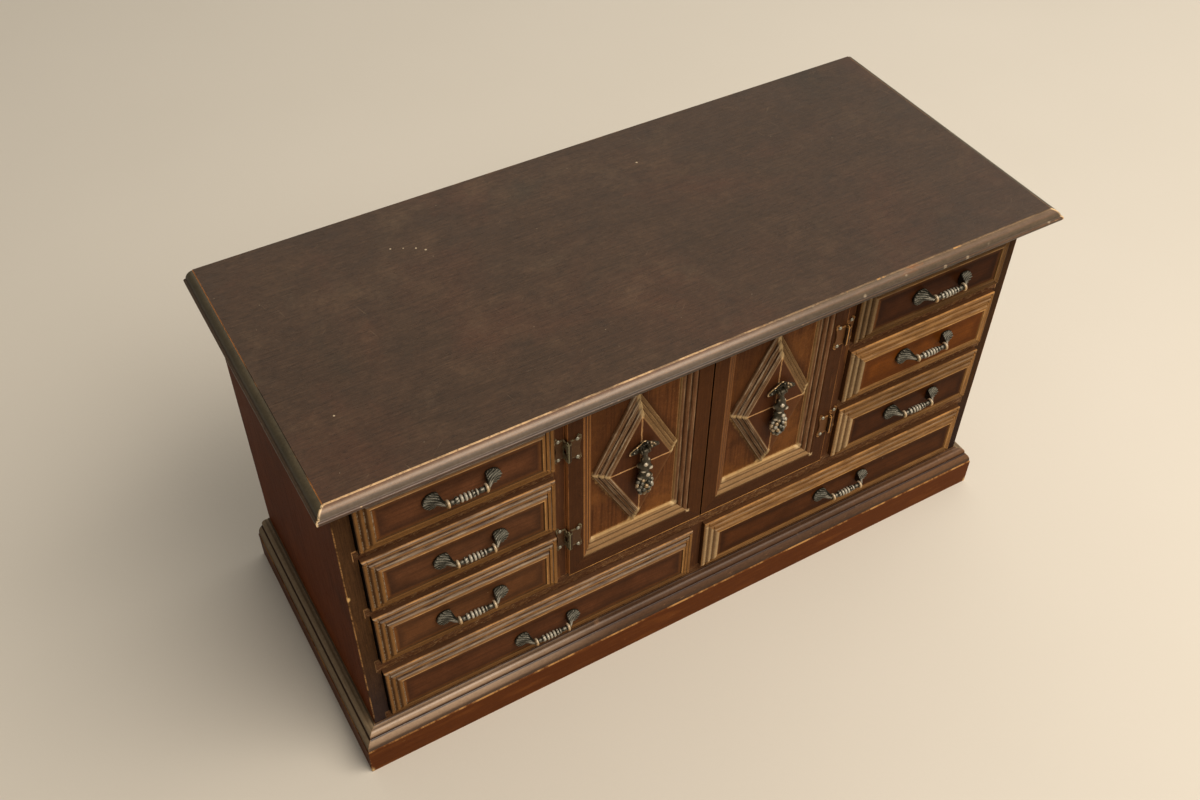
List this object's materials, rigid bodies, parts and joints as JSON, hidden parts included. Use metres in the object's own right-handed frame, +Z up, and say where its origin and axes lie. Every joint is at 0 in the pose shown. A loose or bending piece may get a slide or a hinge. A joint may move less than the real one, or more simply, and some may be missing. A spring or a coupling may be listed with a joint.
{
  "type": "jewelry box with drawers",
  "caption": "Table-top jewellery chest like a small dresser: reeded drawers each side, a long row below, two hinged panel doors with hanging pulls, moulded top and plinth.",
  "frame": {"origin": "on the floor, in the middle of the footprint of the top board", "axes": "+X to the right seen from the front, -Y is the front with the drawers and doors, +Z up"},
  "size_m": [0.4, 0.1708, 0.2155],
  "materials": {
    "top_wood": "satin stained walnut",
    "carcass_wood": "satin stained walnut",
    "plinth_wood": "satin stained walnut",
    "front_wood": "stained, rubbed reeds",
    "door_wood": "stained, rubbed reeds",
    "box_wood": "unfinished light wood",
    "back_board": "hardboard",
    "antique_brass": "antique, darkened",
    "bright_brass": "polished",
    "felt": "felt"
  },
  "bodies": {
    "carcass": {"side_board_left": "carcass_wood", "side_board_right": "carcass_wood", "top_rails": "carcass_wood", "partition_left": "carcass_wood", "partition_right": "carcass_wood", "centre_partition": "carcass_wood", "main_deck": "carcass_wood", "bottom_board": "carcass_wood", "drawer_shelves_left": "carcass_wood", "drawer_shelves_right": "carcass_wood", "top_board": "top_wood", "plinth_front": "plinth_wood", "plinth_left": "plinth_wood", "plinth_right": "plinth_wood", "back_panel": "back_board", "compartment_lining": "felt", "door_stop": "box_wood", "necklace_rail": "box_wood", "necklace_hooks": "bright_brass", "hinge_leaves_carcass": "antique_brass", "hinge_pins": "antique_brass", "hinge_nails_carcass": "antique_brass"},
    "drawer_left_upper": {"drawer_left_upper_front": "front_wood", "drawer_left_upper_box": "box_wood", "drawer_left_upper_pull": "antique_brass"},
    "drawer_left_middle": {"drawer_left_middle_front": "front_wood", "drawer_left_middle_box": "box_wood", "drawer_left_middle_pull": "antique_brass"},
    "drawer_left_lower": {"drawer_left_lower_front": "front_wood", "drawer_left_lower_box": "box_wood", "drawer_left_lower_pull": "antique_brass"},
    "drawer_left_bottom": {"drawer_left_bottom_front": "front_wood", "drawer_left_bottom_box": "box_wood", "drawer_left_bottom_pull": "antique_brass"},
    "drawer_right_upper": {"drawer_right_upper_front": "front_wood", "drawer_right_upper_box": "box_wood", "drawer_right_upper_pull": "antique_brass"},
    "drawer_right_middle": {"drawer_right_middle_front": "front_wood", "drawer_right_middle_box": "box_wood", "drawer_right_middle_pull": "antique_brass"},
    "drawer_right_lower": {"drawer_right_lower_front": "front_wood", "drawer_right_lower_box": "box_wood", "drawer_right_lower_pull": "antique_brass"},
    "drawer_right_bottom": {"drawer_right_bottom_front": "front_wood", "drawer_right_bottom_box": "box_wood", "drawer_right_bottom_pull": "antique_brass"},
    "door_left": {"door_left_frame": "door_wood", "door_left_panel": "door_wood", "door_left_lozenge": "door_wood", "door_left_hinge_leaves": "antique_brass", "door_left_hinge_nails": "antique_brass", "door_left_pull_leaf": "antique_brass"},
    "door_left_drop": {"door_left_drop": "antique_brass"},
    "door_right": {"door_right_frame": "door_wood", "door_right_panel": "door_wood", "door_right_lozenge": "door_wood", "door_right_hinge_leaves": "antique_brass", "door_right_hinge_nails": "antique_brass", "door_right_pull_leaf": "antique_brass"},
    "door_right_drop": {"door_right_drop": "antique_brass"}
  },
  "joints": [
    {"name": "drawer_left_upper_slide", "type": "slide", "parent": "carcass", "child": "drawer_left_upper", "axis": [0, -1, 0], "range_m": [0, 0.09]},
    {"name": "drawer_left_middle_slide", "type": "slide", "parent": "carcass", "child": "drawer_left_middle", "axis": [0, -1, 0], "range_m": [0, 0.09]},
    {"name": "drawer_left_lower_slide", "type": "slide", "parent": "carcass", "child": "drawer_left_lower", "axis": [0, -1, 0], "range_m": [0, 0.09]},
    {"name": "drawer_left_bottom_slide", "type": "slide", "parent": "carcass", "child": "drawer_left_bottom", "axis": [0, -1, 0], "range_m": [0, 0.09]},
    {"name": "drawer_right_upper_slide", "type": "slide", "parent": "carcass", "child": "drawer_right_upper", "axis": [0, -1, 0], "range_m": [0, 0.09]},
    {"name": "drawer_right_middle_slide", "type": "slide", "parent": "carcass", "child": "drawer_right_middle", "axis": [0, -1, 0], "range_m": [0, 0.09]},
    {"name": "drawer_right_lower_slide", "type": "slide", "parent": "carcass", "child": "drawer_right_lower", "axis": [0, -1, 0], "range_m": [0, 0.09]},
    {"name": "drawer_right_bottom_slide", "type": "slide", "parent": "carcass", "child": "drawer_right_bottom", "axis": [0, -1, 0], "range_m": [0, 0.09]},
    {"name": "door_left_hinge", "type": "hinge", "parent": "carcass", "child": "door_left", "pos_m": [-0.0793, -0.07245, 0.143], "axis": [0, 0, -1], "range_deg": [0, 85]},
    {"name": "door_left_drop_swing", "type": "hinge", "parent": "door_left", "child": "door_left_drop", "pos_m": [-0.03977, -0.0756, 0.1574], "axis": [1, 0, 0], "range_deg": [-80, 0]},
    {"name": "door_right_hinge", "type": "hinge", "parent": "carcass", "child": "door_right", "pos_m": [0.0793, -0.07245, 0.143], "axis": [0, 0, 1], "range_deg": [0, 85]},
    {"name": "door_right_drop_swing", "type": "hinge", "parent": "door_right", "child": "door_right_drop", "pos_m": [0.03977, -0.0756, 0.1574], "axis": [1, 0, 0], "range_deg": [-80, 0]}
  ]
}
